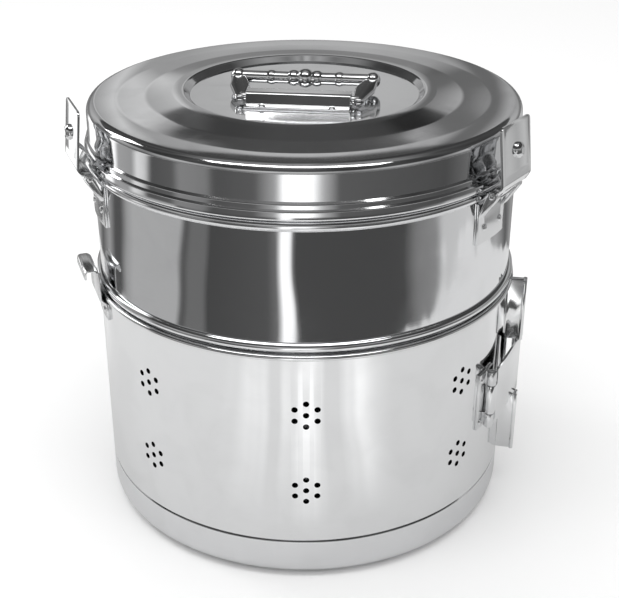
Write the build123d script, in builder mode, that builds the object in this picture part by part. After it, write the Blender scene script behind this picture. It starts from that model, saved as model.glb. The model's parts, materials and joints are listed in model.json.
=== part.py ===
"""Sterilization drum, in millimetres.

The origin is the middle of the base, on the floor. +Z is up, +X runs along the lid handle and
-Y is the front. An azimuth is an angle round Z in degrees, from the front towards +X.
A section plane holds a radius across and a height up. A plan plane holds a radius and a tangent.
"""

import os
from math import asin, cos, degrees, radians, sin

from build123d import *

# ---------------------------------------------------------------- driving dimensions

# Body
body_radius = 114.0          # outside of the straight wall
body_sheet = 1.0             # sheet thickness of the body
rim_height = 205.0           # floor to the top of the rim bead, where the lid comes down
neck_rise = 19.0             # neck above the rim bead, inside the lid
neck_taper = 1.0             # how far the neck is drawn in from the wall
neck_start = 0.6             # from the rim bead to the taper
neck_rounding = 0.5
rim_bead_radius = 2.8
mid_bead_radius = 2.5
mid_bead_height = 138.7      # floor to the middle of the mid bead

# Base
base_height = 24.0           # floor to the top of the ledge under the belt
base_corner = 9.0            # rounding between the base and the floor
foot_width = 8.0             # flat ring that the drum stands on
floor_rise = 2.5             # how far the floor panel is raised above the foot
ramp_run = 4.0               # width of the step between the foot and the floor panel
panel_rounding = 2.0
ledge_rounding = 0.6

# Steam holes
hole_radius = 1.6
hole_ring_radius = 6.6       # ring of holes round a middle hole
holes_in_ring = 6
hole_cut_reach = 5.0         # of a hole's cut, on each side of the wall
station_count = 8            # hole groups round the body
station_azimuth = 7.5        # azimuth of the front hole group
lower_row_height = 56.0
hole_row_pitch = 45.0
hole_row_count = 2

# Belt
belt_gap = 0.3               # running gap between the body and the belt
belt_sheet = 0.9
belt_edge_radius = 1.5       # rolled top edge
belt_bead_gap = 0.9          # below the mid bead
belt_ledge_gap = 0.4         # above the base ledge

# Belt closure: two flanges with a notch, a keeper rod, and a hasp on an upright pin
closure_azimuth = 84.5
flange_gap = 3.0             # between the two flanges
flange_depth = 9.0           # how far a flange stands out from the belt
flange_inset = 1.5           # below the top edge and above the bottom edge
flange_edge_radius = 1.1
notch_bottom = 62.0
notch_height = 36.0
notch_ridge = 1.6            # flange left in the notch
keeper_radius = 1.7
keeper_stand = 6.0           # rod axis above the belt
keeper_gap = 0.4             # between the rod and the hasp's curl
keeper_foot_height = 5.0
keeper_foot_depth = 4.0
hasp_span = 20.0             # degrees from the closure back to the hasp pin
hasp_sheet = 1.2
hasp_end_gap = 1.0           # above and below the hasp, inside the notch
hasp_pin_stand = 4.0         # pin axis above the belt
hasp_pin_radius = 1.2
hasp_knuckle_radius = 2.5
hasp_wrap = 105.0            # degrees of curl over the keeper rod
hasp_tongue_height = 17.0
bracket_width = 17.0
bracket_sheet = 1.2

# Thumb lug on the belt
lug_azimuth = -64.0
lug_width = 24.0
lug_sheet = 1.2
lug_foot_height = 9.0
lug_foot_drop = 3.2          # foot below the belt's rolled edge
lug_stand = 3.1              # from the foot out to the lug's upright part
lug_rise = 14.5              # above the belt's top edge
lug_reach = 10.5             # from the belt to the curled tip
lug_tip_drop = 4.5
lug_bend = 1.6
lug_curl = 3.0
lug_rivet_spacing = 13.0

# Lid
lid_sheet = 1.0
lid_gap = 0.3                # above the rim bead
lid_height = 27.0            # rim bead to the lid's flat ring
skirt_play = 1.4             # between the neck and the skirt
lid_shoulder = 4.5
slope_inset = 14.0           # from the body wall in to where the slope leaves the flat ring
crest_radius = 64.5
crest_rise = 3.0             # crest above the flat ring
crest_drop_run = 3.5         # width of the wall inside the crest
disc_drop = 3.2              # recessed middle below the crest
crest_rounding = 2.0
slope_rounding = 8.0
edge_height = 5.0            # rolled edge of the skirt
edge_width = 3.2
edge_rounding = 1.45
skirt_step = 1.2             # how far the skirt steps out above the rolled edge
skirt_step_rise = 9.0        # from the lid's bottom up to the step
step_rounding = 0.55

# Leaf plates, ears and pins of the lid hinge and the clips
leaf_sheet = 1.2
leaf_height = 22.0           # leaf plate on the body
leaf_top_gap = 1.6           # below the rim bead
ear_root_radius = 1.1
ear_root_drop = 6.0          # ear root below the top of the leaf plate
running_gap = 0.05           # radial, pin in a moving knuckle
side_gap = 0.5               # between moving knuckles and fixed ears
pin_overhang = 0.6
leaf_rivet_drop = 14.0       # rivets below the top of the leaf plate

# Lid hinge at the back
hinge_azimuth = 180.0
hinge_half_width = 17.0
hinge_ear_width = 7.0
hinge_pin_radius = 1.5
hinge_knuckle_radius = 3.0
hinge_pin_stand = 9.0        # pin axis from the body wall
hinge_pin_rise = 2.0         # pin axis above the rim bead
hinge_rivet_spacing = 22.0
lid_leaf_height = 10.5
lid_leaf_lift = 2.2          # above the skirt's step
lid_tongue_reach = 4.4       # where the tongue levels out, from the skirt
lid_tongue_rounding = 1.5

# Side clips
clip_azimuth = 62.0          # of the right clip, and on the other side of the left one
clip_sheet = 1.2
clip_half_width = 15.0
clip_base_half_width = 14.0
clip_ear_width = 5.0
clip_pin_radius = 1.25
clip_knuckle_radius = 2.6
clip_pin_stand = 6.6         # pin axis from the body wall
clip_pin_drop = 2.0          # pin axis below the top of the rim bead
clip_fold_reach = 5.7        # fold from the pin axis, outwards
clip_fold_rise = 6.5         # fold from the pin axis, upwards
clip_bevel = 4.6             # full-width part below the fold
clip_plate_height = 29.0     # above the fold
clip_lean = 3.0              # how far the plate's top leans in
clip_fold_rounding = 2.5
clip_corner = 2.5
clip_rivet_spacing = 16.0
spring_sheet = 0.8
spring_half_width = 6.0
spring_hold = 10.0           # length that lies on the plate
spring_nose_gap = 0.4        # from the lid's rolled edge
spring_nose_rise = 3.2       # nose above the lid's rolled edge
spring_tail_reach = 2.8
spring_tail_drop = 5.0
spring_upper_bend = 4.0
spring_nose_bend = 2.0
boss_radius = 4.0
boss_height = 3.0
boss_rounding = 1.8
boss_rise = 15.0             # above the fold

# Lid handle: a saddle strap and a folding bail
strap_sheet = 1.2
strap_half_length = 27.0
strap_flange = 5.5
strap_slant = 2.3
strap_top = 8.0
strap_rise = 6.8             # top of the strap above the lid's middle
strap_rounding = 1.2
strap_rivet_inset = 9.0      # from the end of the strap
bail_pivot_y = -22.2
bail_pivot_rise = 3.3        # above the lid's middle
bail_stub_radius = 2.0
bail_stub_hold = 2.4         # stub inside the strap's cheek
bail_side_gap = 0.8          # between the strap's cheek and the arm
bail_eye_radius = 2.9
bail_grip_run = 26.2         # grip behind the pivot
bail_grip_lift = 3.1         # grip above the pivot
bail_grip_radius = 3.2
bail_overhang = 9.0          # grip's end beyond the strap's end
bail_leaf_radius = 5.2       # half width of the leaf-shaped arm
bail_leaf_place = 13.0       # along the arm
bail_arm_sheet = 3.2
bail_arm_rounding = 1.0
bail_knob_radius = 5.0       # ornament in the middle of the grip
bail_collar_radius = 4.2
bail_collar_spacing = 6.2
bail_bead_radius = 3.8
bail_bead_spacing = 12.0

# Rivet heads
rivet_radius = 1.9
rivet_height = 0.9
rivet_rounding = 0.6

# ---------------------------------------------------------------- derived sizes

belt_inner = body_radius + belt_gap
belt_outer = belt_inner + belt_sheet
belt_bottom = base_height + belt_ledge_gap
belt_top = mid_bead_height - mid_bead_radius - belt_bead_gap
base_radius = belt_outer
neck_radius = body_radius - neck_taper

flange_middle = (flange_gap + belt_sheet) / 2
flange_back = flange_gap / 2 + belt_sheet
notch_top = notch_bottom + notch_height
hasp_azimuth = closure_azimuth - hasp_span
hasp_bottom = notch_bottom + hasp_end_gap
hasp_height = notch_height - 2 * hasp_end_gap
tongue_bottom = hasp_bottom + (hasp_height - hasp_tongue_height) / 2
hasp_pin_place = belt_outer + hasp_pin_stand
keeper_place = (belt_outer + keeper_stand, flange_back + keeper_radius)

lid_bottom = rim_height + lid_gap
skirt_inner = neck_radius + skirt_play
skirt_outer = skirt_inner + lid_sheet
edge_outer = skirt_inner + edge_width
edge_top = lid_bottom + edge_height
ring_height = rim_height + lid_height
slope_radius = body_radius - slope_inset
crest_height = ring_height + crest_rise
disc_height = crest_height - disc_drop
step_height = lid_bottom + skirt_step_rise

leaf_top = rim_height - 2 * rim_bead_radius - leaf_top_gap
leaf_bottom = leaf_top - leaf_height
leaf_rivet_height = leaf_top - leaf_rivet_drop
hinge_pin_place = (body_radius + hinge_pin_stand, rim_height + hinge_pin_rise)
clip_pin_place = (body_radius + clip_pin_stand, rim_height - clip_pin_drop)


# ---------------------------------------------------------------- planes and shared features

def outward(azimuth):
    """Direction from the drum's axis to the wall."""
    return Vector(sin(radians(azimuth)), -cos(radians(azimuth)), 0)


def along(azimuth):
    """Direction along the wall, towards a larger azimuth."""
    return Vector(cos(radians(azimuth)), sin(radians(azimuth)), 0)


def section_plane(azimuth):
    """Upright plane through the axis: x is the radius, y is the height."""
    return Plane(origin=(0, 0, 0), x_dir=outward(azimuth), z_dir=-along(azimuth))


def plan_plane(azimuth, height):
    """Level plane: x is the radius at this azimuth, y runs along the wall."""
    return Plane(origin=(0, 0, height), x_dir=outward(azimuth), z_dir=(0, 0, 1))


def wall_plane(azimuth, shift, radius, height):
    """Plane that touches the wall and faces outwards. The shift is a distance along the wall."""
    turned = azimuth + degrees(shift / radius)
    origin = outward(turned) * radius + Vector(0, 0, height)
    return Plane(origin=origin, x_dir=along(turned), z_dir=outward(turned))


def wall_pad(azimuth, half_width, inner, sheet, bottom, top):
    """Plate that follows the round wall."""
    half_angle = degrees(half_width / inner)
    with BuildSketch(section_plane(azimuth - half_angle)) as pad_section:
        with Locations((inner + sheet / 2, (bottom + top) / 2)):
            Rectangle(sheet, top - bottom)
    revolve(pad_section.sketch, axis=Axis.Z, revolution_arc=2 * half_angle)


def cut_steam_holes(wall_radius):
    """Groups of holes, in rows, at every station of a round wall."""
    for station in range(station_count):
        azimuth = station_azimuth + station * 360 / station_count
        for row in range(hole_row_count):
            height = lower_row_height + row * hole_row_pitch
            with BuildSketch(wall_plane(azimuth, 0, wall_radius, height)) as group:
                Circle(hole_radius)
                with PolarLocations(hole_ring_radius, holes_in_ring, start_angle=90):
                    Circle(hole_radius)
            extrude(group.sketch, amount=hole_cut_reach, both=True, mode=Mode.SUBTRACT)


def pierced_ears(azimuth, pin_place, knuckle_radius, pin_radius, half_width, ear_width):
    """Two ears on a leaf plate that hold a level pin in front of the rim bead."""
    root_place = (body_radius + ear_root_radius, leaf_top - ear_root_drop)
    for side in (-1, 1):
        ear_plane = section_plane(azimuth).offset(side * (half_width - ear_width / 2))
        with BuildSketch(ear_plane) as ear:
            with Locations(pin_place):
                Circle(knuckle_radius)
            with Locations(root_place):
                Circle(ear_root_radius)
            make_hull()
            with Locations(pin_place):
                Circle(pin_radius, mode=Mode.SUBTRACT)
        extrude(ear.sketch, amount=ear_width / 2, both=True)


def save(piece, name):
    """Label a finished piece and write it under its own name."""
    piece.part.label = name
    export_step(piece.part, f"parts/{name}.step")


def save_rivet(name, plane, radius=rivet_radius, height=rivet_height, rounding=rivet_rounding):
    """Rounded rivet head that sits on a plane."""
    with BuildPart() as rivet:
        with BuildSketch(plane):
            Circle(radius)
        extrude(amount=height)
        outer_face = rivet.faces().sort_by(Axis(plane.origin, plane.z_dir))[-1]
        fillet(outer_face.edges(), radius=rounding)
    save(rivet, name)


def save_pin(name, azimuth, pin_place, radius, half_length):
    """Level pin, square to a section plane."""
    with BuildPart() as pin:
        with BuildSketch(section_plane(azimuth)):
            with Locations(pin_place):
                Circle(radius)
        extrude(amount=half_length, both=True)
    save(pin, name)


os.makedirs("parts", exist_ok=True)

# ---------------------------------------------------------------- drum shell

shell_middle = body_radius - body_sheet / 2
base_middle = base_radius - body_sheet / 2
neck_middle = neck_radius - body_sheet / 2
foot_inner = base_radius - base_corner - foot_width
panel_level = floor_rise + body_sheet / 2
ledge_run = base_radius - body_radius
neck_base = rim_height + neck_start

with BuildPart() as drum_shell:
    with BuildSketch(Plane.XZ):
        with BuildLine():
            FilletPolyline(
                (0, panel_level),
                (foot_inner - ramp_run, panel_level),
                (foot_inner, body_sheet / 2),
                (base_middle, body_sheet / 2),
                (base_middle, base_height - ledge_run),
                (shell_middle, base_height),
                (shell_middle, neck_base),
                (neck_middle, neck_base + neck_taper),
                (neck_middle, rim_height + neck_rise),
                radius=[
                    panel_rounding, panel_rounding, base_corner - body_sheet / 2,
                    ledge_rounding, ledge_rounding, neck_rounding, neck_rounding,
                ],
            )
        trace(line_width=body_sheet)
        for bead_height, bead_radius in (
            (mid_bead_height, mid_bead_radius),
            (rim_height - rim_bead_radius, rim_bead_radius),
        ):
            with Locations((body_radius, bead_height)):
                Circle(bead_radius)
                Circle(bead_radius - body_sheet, mode=Mode.SUBTRACT)
            with Locations((body_radius - body_sheet, bead_height)):
                Rectangle(
                    2 * bead_radius, 2 * bead_radius,
                    align=(Align.MAX, Align.CENTER), mode=Mode.SUBTRACT,
                )
    revolve(axis=Axis.Z)
    cut_steam_holes(body_radius)
save(drum_shell, "drum_shell")

# ---------------------------------------------------------------- lid shell

skirt_middle = skirt_inner + lid_sheet / 2

with BuildPart() as lid_shell:
    with BuildSketch(Plane.XZ):
        with BuildLine():
            FilletPolyline(
                (0, disc_height - lid_sheet / 2),
                (crest_radius - crest_drop_run, disc_height - lid_sheet / 2),
                (crest_radius, crest_height - lid_sheet / 2),
                (slope_radius, ring_height - lid_sheet / 2),
                (skirt_middle, ring_height - lid_sheet / 2),
                (skirt_middle, step_height),
                (skirt_middle + skirt_step, step_height - skirt_step),
                (skirt_middle + skirt_step, lid_bottom + edge_height / 2),
                radius=[
                    crest_rounding, crest_rounding, slope_rounding,
                    lid_shoulder, step_rounding, step_rounding,
                ],
            )
        trace(line_width=lid_sheet)
        with Locations((skirt_inner + edge_width / 2, lid_bottom + edge_height / 2)):
            RectangleRounded(edge_width, edge_height, edge_rounding)
    revolve(axis=Axis.Z)
save(lid_shell, "lid_shell")

# ---------------------------------------------------------------- lid hinge at the back

hinge_tongue_half = hinge_half_width - hinge_ear_width - side_gap
lid_leaf_bottom = step_height + lid_leaf_lift
lid_leaf_top = lid_leaf_bottom + lid_leaf_height
lid_leaf_middle = skirt_outer + leaf_sheet / 2
hinge_tongue_level = hinge_pin_place[1] + hinge_knuckle_radius - leaf_sheet / 2

with BuildPart() as hinge_body_leaf:
    wall_pad(hinge_azimuth, hinge_half_width, body_radius, leaf_sheet, leaf_bottom, leaf_top)
    pierced_ears(
        hinge_azimuth, hinge_pin_place, hinge_knuckle_radius, hinge_pin_radius,
        hinge_half_width, hinge_ear_width,
    )
save(hinge_body_leaf, "hinge_body_leaf")

with BuildPart() as hinge_lid_leaf:
    wall_pad(
        hinge_azimuth, hinge_half_width, skirt_outer, leaf_sheet, lid_leaf_bottom, lid_leaf_top,
    )
    with BuildSketch(section_plane(hinge_azimuth)):
        with BuildLine():
            FilletPolyline(
                (lid_leaf_middle, lid_leaf_bottom + lid_leaf_height / 3),
                (lid_leaf_middle, lid_leaf_bottom),
                (skirt_outer + lid_tongue_reach, hinge_tongue_level),
                (hinge_pin_place[0], hinge_tongue_level),
                radius=lid_tongue_rounding,
            )
        trace(line_width=leaf_sheet)
        with Locations(hinge_pin_place):
            Circle(hinge_knuckle_radius)
            Circle(hinge_pin_radius + running_gap, mode=Mode.SUBTRACT)
    extrude(amount=hinge_tongue_half, both=True)
save(hinge_lid_leaf, "hinge_lid_leaf")

save_pin(
    "hinge_pin", hinge_azimuth, hinge_pin_place, hinge_pin_radius,
    hinge_half_width + pin_overhang,
)
for number, side in enumerate((-1, 1), start=1):
    shift = side * hinge_rivet_spacing / 2
    body_spot = wall_plane(hinge_azimuth, shift, body_radius + leaf_sheet, leaf_rivet_height)
    lid_spot = wall_plane(
        hinge_azimuth, shift, skirt_outer + leaf_sheet, (lid_leaf_bottom + lid_leaf_top) / 2,
    )
    save_rivet(f"hinge_body_rivet_{number}", body_spot)
    save_rivet(f"hinge_lid_rivet_{number}", lid_spot)

# ---------------------------------------------------------------- side clips

clip_fold = Vector(clip_pin_place[0] + clip_fold_reach, clip_pin_place[1] + clip_fold_rise)
clip_top = clip_fold + Vector(-clip_lean, clip_plate_height)
clip_root = Vector(clip_pin_place[0] + clip_knuckle_radius - clip_sheet / 2, clip_pin_place[1])
clip_up = (clip_top - clip_fold).normalized()
clip_out = Vector(clip_up.Y, -clip_up.X)
bevel_down = (clip_root - clip_fold).normalized()
bevel_end = clip_fold + bevel_down * clip_bevel
clip_tongue_half = clip_base_half_width - clip_ear_width - side_gap

spring_face = clip_fold - clip_out * (clip_sheet + spring_sheet) / 2
spring_top = spring_face + clip_up * (boss_rise + spring_hold / 2)
spring_leave = spring_face + clip_up * (boss_rise - spring_hold / 2)
spring_nose = Vector(edge_outer + spring_nose_gap + spring_sheet / 2, edge_top + spring_nose_rise)
spring_tail = spring_nose + Vector(spring_tail_reach, -spring_tail_drop)
boss_spot = clip_fold + clip_up * boss_rise + clip_out * clip_sheet / 2

for side, azimuth in (("left", -clip_azimuth), ("right", clip_azimuth)):
    clip_plane = section_plane(azimuth)

    with BuildPart() as clip_base:
        wall_pad(
            azimuth, clip_base_half_width, body_radius, leaf_sheet, leaf_bottom, leaf_top,
        )
        pierced_ears(
            azimuth, clip_pin_place, clip_knuckle_radius, clip_pin_radius,
            clip_base_half_width, clip_ear_width,
        )
    save(clip_base, f"clip_{side}_base")

    save_pin(
        f"clip_{side}_pin", azimuth, clip_pin_place, clip_pin_radius,
        clip_base_half_width + pin_overhang,
    )

    with BuildPart() as clip_plate:
        with BuildSketch(clip_plane):
            with BuildLine():
                FilletPolyline(bevel_end, clip_fold, clip_top, radius=clip_fold_rounding)
            trace(line_width=clip_sheet)
        extrude(amount=clip_half_width, both=True)
        thickness_edges = clip_plate.edges().filter_by(
            lambda edge: abs(edge.length - clip_sheet) < clip_sheet / 100
        )
        fillet(thickness_edges.sort_by(Axis.Z)[-2:], radius=clip_corner)
        with BuildSketch(clip_plane):
            with BuildLine():
                Line(clip_root, bevel_end - bevel_down * clip_sheet)
            trace(line_width=clip_sheet)
            with Locations(clip_pin_place):
                Circle(clip_knuckle_radius)
                Circle(clip_pin_radius + running_gap, mode=Mode.SUBTRACT)
        extrude(amount=clip_tongue_half, both=True)
    save(clip_plate, f"clip_{side}_plate")

    with BuildPart() as clip_spring:
        with BuildSketch(clip_plane):
            with BuildLine():
                FilletPolyline(
                    spring_top, spring_leave, spring_nose, spring_tail,
                    radius=[spring_upper_bend, spring_nose_bend],
                )
            trace(line_width=spring_sheet)
        extrude(amount=spring_half_width, both=True)
    save(clip_spring, f"clip_{side}_spring")

    boss_plane = Plane(
        origin=clip_plane.from_local_coords(boss_spot),
        x_dir=along(azimuth),
        z_dir=outward(azimuth) * clip_out.X + Vector(0, 0, clip_out.Y),
    )
    save_rivet(f"clip_{side}_boss", boss_plane, boss_radius, boss_height, boss_rounding)
    for number, hand in enumerate((-1, 1), start=1):
        base_spot = wall_plane(
            azimuth, hand * clip_rivet_spacing / 2, body_radius + leaf_sheet,
            leaf_rivet_height,
        )
        save_rivet(f"clip_{side}_rivet_{number}", base_spot)

# ---------------------------------------------------------------- lid handle

strap_level = disc_height + strap_sheet / 2
strap_shoulder = strap_top / 2
strap_toe = strap_shoulder + strap_slant
strap_edge = strap_toe + strap_flange
bail_axis = (bail_pivot_y, disc_height + bail_pivot_rise)

with BuildPart() as handle_strap:
    with BuildSketch(Plane.YZ):
        with BuildLine():
            FilletPolyline(
                (bail_pivot_y - strap_edge, strap_level),
                (bail_pivot_y - strap_toe, strap_level),
                (bail_pivot_y - strap_shoulder, disc_height + strap_rise - strap_sheet / 2),
                (bail_pivot_y + strap_shoulder, disc_height + strap_rise - strap_sheet / 2),
                (bail_pivot_y + strap_toe, strap_level),
                (bail_pivot_y + strap_edge, strap_level),
                radius=strap_rounding,
            )
        trace(line_width=strap_sheet)
    extrude(amount=strap_half_length, both=True)
    for side in (-1, 1):
        with BuildSketch(Plane.YZ.offset(side * (strap_half_length - strap_sheet / 2))):
            with BuildLine():
                Polyline(
                    (bail_pivot_y - strap_toe, disc_height),
                    (bail_pivot_y - strap_shoulder, disc_height + strap_rise - strap_sheet / 2),
                    (bail_pivot_y + strap_shoulder, disc_height + strap_rise - strap_sheet / 2),
                    (bail_pivot_y + strap_toe, disc_height),
                    close=True,
                )
            make_face()
            with Locations(bail_axis):
                Circle(bail_stub_radius + running_gap, mode=Mode.SUBTRACT)
        extrude(amount=strap_sheet / 2, both=True)
save(handle_strap, "handle_strap")

rivet_reach = strap_half_length - strap_rivet_inset
handle_spots = [
    (hand_x * rivet_reach, bail_pivot_y + hand_y * (strap_edge + strap_toe) / 2)
    for hand_y in (-1, 1)
    for hand_x in (-1, 1)
]
for number, (spot_x, spot_y) in enumerate(handle_spots, start=1):
    save_rivet(f"handle_rivet_{number}", Plane((spot_x, spot_y, disc_height + strap_sheet)))

grip_direction = Vector(0, bail_grip_run, bail_grip_lift)
grip_distance = grip_direction.length
bail_plane = Plane(
    origin=(0, *bail_axis), x_dir=(1, 0, 0), z_dir=Vector(1, 0, 0).cross(grip_direction),
)
bail_half_span = strap_half_length + bail_overhang
bail_eye_x = strap_half_length + bail_side_gap + bail_eye_radius
bail_leaf_x = strap_half_length + bail_side_gap + bail_leaf_radius
stub_start = strap_half_length - bail_stub_hold
bail_bead_place = bail_collar_spacing + bail_bead_spacing
grip_beads = [(0, bail_knob_radius)]
for hand in (-1, 1):
    grip_beads.append((hand * bail_collar_spacing, bail_collar_radius))
    grip_beads.append((hand * bail_bead_place, bail_bead_radius))
    grip_beads.append((hand * bail_half_span, bail_collar_radius))

with BuildPart() as handle_bail:
    for hand in (-1, 1):
        with BuildSketch(bail_plane):
            with Locations((hand * bail_eye_x, 0)):
                Circle(bail_eye_radius)
            with Locations((hand * bail_leaf_x, bail_leaf_place)):
                Circle(bail_leaf_radius)
            with Locations((hand * bail_half_span, grip_distance)):
                Circle(bail_grip_radius)
            make_hull()
        extrude(amount=bail_arm_sheet / 2, both=True)
    arm_faces = handle_bail.faces().filter_by(GeomType.PLANE)
    fillet(arm_faces.edges(), radius=bail_arm_rounding)
    for hand in (-1, 1):
        with BuildSketch(Plane.YZ.offset(hand * stub_start)):
            with Locations(bail_axis):
                Circle(bail_stub_radius)
        extrude(amount=hand * (bail_eye_x - stub_start))
    with BuildSketch(bail_plane):
        for place, radius in grip_beads:
            with Locations((place, grip_distance)):
                Circle(radius)
        with Locations((0, grip_distance)):
            Rectangle(2 * bail_half_span, 2 * bail_grip_radius)
            Rectangle(
                3 * bail_half_span, 2 * bail_knob_radius,
                align=(Align.CENTER, Align.MAX), mode=Mode.SUBTRACT,
            )
    revolve(axis=Axis(bail_plane.from_local_coords((0, grip_distance, 0)), (1, 0, 0)))
save(handle_bail, "handle_bail")

# ---------------------------------------------------------------- belt and its closure

belt_gap_angle = degrees(asin(flange_middle / belt_inner))
flange_bottom = belt_bottom + flange_inset
flange_top = belt_top - flange_inset

with BuildPart() as belt_band:
    with BuildSketch(section_plane(closure_azimuth + belt_gap_angle)):
        with Locations((belt_inner + belt_sheet / 2, (belt_bottom + belt_top) / 2)):
            Rectangle(belt_sheet, belt_top - belt_bottom)
        with Locations((belt_inner + belt_edge_radius, belt_top - belt_edge_radius)):
            Circle(belt_edge_radius)
    revolve(axis=Axis.Z, revolution_arc=360 - 2 * belt_gap_angle)
    for hand in (-1, 1):
        for lobe_bottom, lobe_top in ((flange_bottom, notch_bottom), (notch_top, flange_top)):
            with BuildSketch(plan_plane(closure_azimuth, lobe_bottom)):
                with Locations((belt_inner, hand * flange_middle)):
                    Rectangle(
                        belt_sheet + flange_depth, belt_sheet, align=(Align.MIN, Align.CENTER),
                    )
                with Locations((belt_outer + flange_depth, hand * flange_middle)):
                    Circle(flange_edge_radius)
            extrude(amount=lobe_top - lobe_bottom)
        with BuildSketch(plan_plane(closure_azimuth, notch_bottom)):
            with Locations((belt_inner, hand * flange_middle)):
                Rectangle(
                    belt_sheet + notch_ridge, belt_sheet, align=(Align.MIN, Align.CENTER),
                )
        extrude(amount=notch_height)
    cut_steam_holes(belt_inner)
save(belt_band, "belt_band")

with BuildPart() as latch_keeper:
    with BuildSketch(plan_plane(closure_azimuth, notch_bottom - keeper_foot_height)):
        with Locations(keeper_place):
            Circle(keeper_radius)
    extrude(amount=notch_height + 2 * keeper_foot_height)
    for foot_bottom in (notch_bottom - keeper_foot_height, notch_top):
        with BuildSketch(plan_plane(closure_azimuth, foot_bottom)):
            with Locations((keeper_place[0] - keeper_foot_depth / 2, flange_back)):
                Rectangle(
                    keeper_foot_depth, keeper_radius, align=(Align.CENTER, Align.MIN),
                )
        extrude(amount=keeper_foot_height)
save(latch_keeper, "latch_keeper")

hasp_pin_point = outward(hasp_azimuth) * hasp_pin_place
keeper_point = (
    outward(closure_azimuth) * keeper_place[0] + along(closure_azimuth) * keeper_place[1]
)
hasp_length = (keeper_point - hasp_pin_point).length
curl_radius = keeper_radius + keeper_gap + hasp_sheet / 2
hasp_level = hasp_knuckle_radius - hasp_sheet / 2
hasp_start = hasp_knuckle_radius + side_gap + hasp_sheet / 2


def hasp_plane(height):
    """Level plane on the hasp pin: x points away from the keeper rod, y points outwards."""
    return Plane(
        origin=hasp_pin_point + Vector(0, 0, height),
        x_dir=hasp_pin_point - keeper_point, z_dir=(0, 0, 1),
    )


with BuildPart() as latch_hasp:
    with BuildSketch(hasp_plane(hasp_bottom)):
        with BuildLine():
            Line((-hasp_start, hasp_level), (-hasp_length, curl_radius))
            CenterArc((-hasp_length, 0), curl_radius, 90, hasp_wrap)
        trace(line_width=hasp_sheet)
    extrude(amount=hasp_height)
    with BuildSketch(hasp_plane(tongue_bottom)):
        with BuildLine():
            Line((0, hasp_level), (-hasp_start - hasp_sheet, hasp_level))
        trace(line_width=hasp_sheet)
        Circle(hasp_knuckle_radius)
        Circle(hasp_pin_radius + running_gap, mode=Mode.SUBTRACT)
    extrude(amount=hasp_tongue_height)
save(latch_hasp, "latch_hasp")

lower_knuckle = (hasp_bottom, tongue_bottom - side_gap)
upper_knuckle = (tongue_bottom + hasp_tongue_height + side_gap, hasp_bottom + hasp_height)
knuckle_root = belt_outer + bracket_sheet / 2

with BuildPart() as latch_bracket:
    wall_pad(
        hasp_azimuth, bracket_width / 2, belt_outer, bracket_sheet,
        hasp_bottom, hasp_bottom + hasp_height,
    )
    for knuckle_bottom, knuckle_top in (lower_knuckle, upper_knuckle):
        with BuildSketch(plan_plane(hasp_azimuth, knuckle_bottom)):
            with Locations((hasp_pin_place, 0)):
                Circle(hasp_knuckle_radius)
            with Locations((knuckle_root, 0)):
                Rectangle(
                    hasp_pin_place - knuckle_root, hasp_knuckle_radius,
                    align=(Align.MIN, Align.CENTER),
                )
            with Locations((hasp_pin_place, 0)):
                Circle(hasp_pin_radius, mode=Mode.SUBTRACT)
        extrude(amount=knuckle_top - knuckle_bottom)
save(latch_bracket, "latch_bracket")

with BuildPart() as latch_pin:
    with BuildSketch(plan_plane(hasp_azimuth, hasp_bottom - pin_overhang)):
        with Locations((hasp_pin_place, 0)):
            Circle(hasp_pin_radius)
    extrude(amount=hasp_height + 2 * pin_overhang)
save(latch_pin, "latch_pin")

bracket_rivet_shift = (bracket_width / 2 + hasp_knuckle_radius) / 2
for number, height in enumerate((sum(lower_knuckle) / 2, sum(upper_knuckle) / 2), start=1):
    bracket_spot = wall_plane(
        hasp_azimuth, -bracket_rivet_shift, belt_outer + bracket_sheet, height,
    )
    save_rivet(f"latch_rivet_{number}", bracket_spot)

# ---------------------------------------------------------------- thumb lug on the belt

lug_middle = belt_outer + lug_sheet / 2
lug_foot_top = belt_top - 2 * belt_edge_radius - lug_foot_drop
lug_upright = lug_middle + lug_stand
lug_tip = belt_outer + lug_reach
lug_top = belt_top + lug_rise

with BuildPart() as belt_lug:
    wall_pad(
        lug_azimuth, lug_width / 2, belt_outer, lug_sheet,
        lug_foot_top - lug_foot_height, lug_foot_top,
    )
    with BuildSketch(section_plane(lug_azimuth)):
        with BuildLine():
            FilletPolyline(
                (lug_middle, lug_foot_top - lug_sheet),
                (lug_middle, lug_foot_top),
                (lug_upright, lug_foot_top + lug_stand),
                (lug_upright, lug_top),
                (lug_tip, lug_top),
                (lug_tip, lug_top - lug_tip_drop),
                radius=[lug_sheet, lug_bend, lug_curl, lug_bend],
            )
        trace(line_width=lug_sheet)
    extrude(amount=lug_width / 2, both=True)
save(belt_lug, "belt_lug")

for number, hand in enumerate((-1, 1), start=1):
    lug_spot = wall_plane(
        lug_azimuth, hand * lug_rivet_spacing / 2, belt_outer + lug_sheet,
        lug_foot_top - lug_foot_height / 2,
    )
    save_rivet(f"lug_rivet_{number}", lug_spot)
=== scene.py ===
# %% [markdown]
# # A sterilization drum in polished steel
#
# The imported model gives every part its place. This lesson loads it, gives the parts their
# finer shapes, and then their finish. Polished steel has almost no colour of its own, so most
# of the work is in clean curves and in what those curves reflect.

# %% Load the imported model
import json
from math import acos, ceil, cos, degrees, pi, radians, sin, sqrt, tan

import bmesh
import bpy
from mathutils import Matrix, Vector

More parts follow.
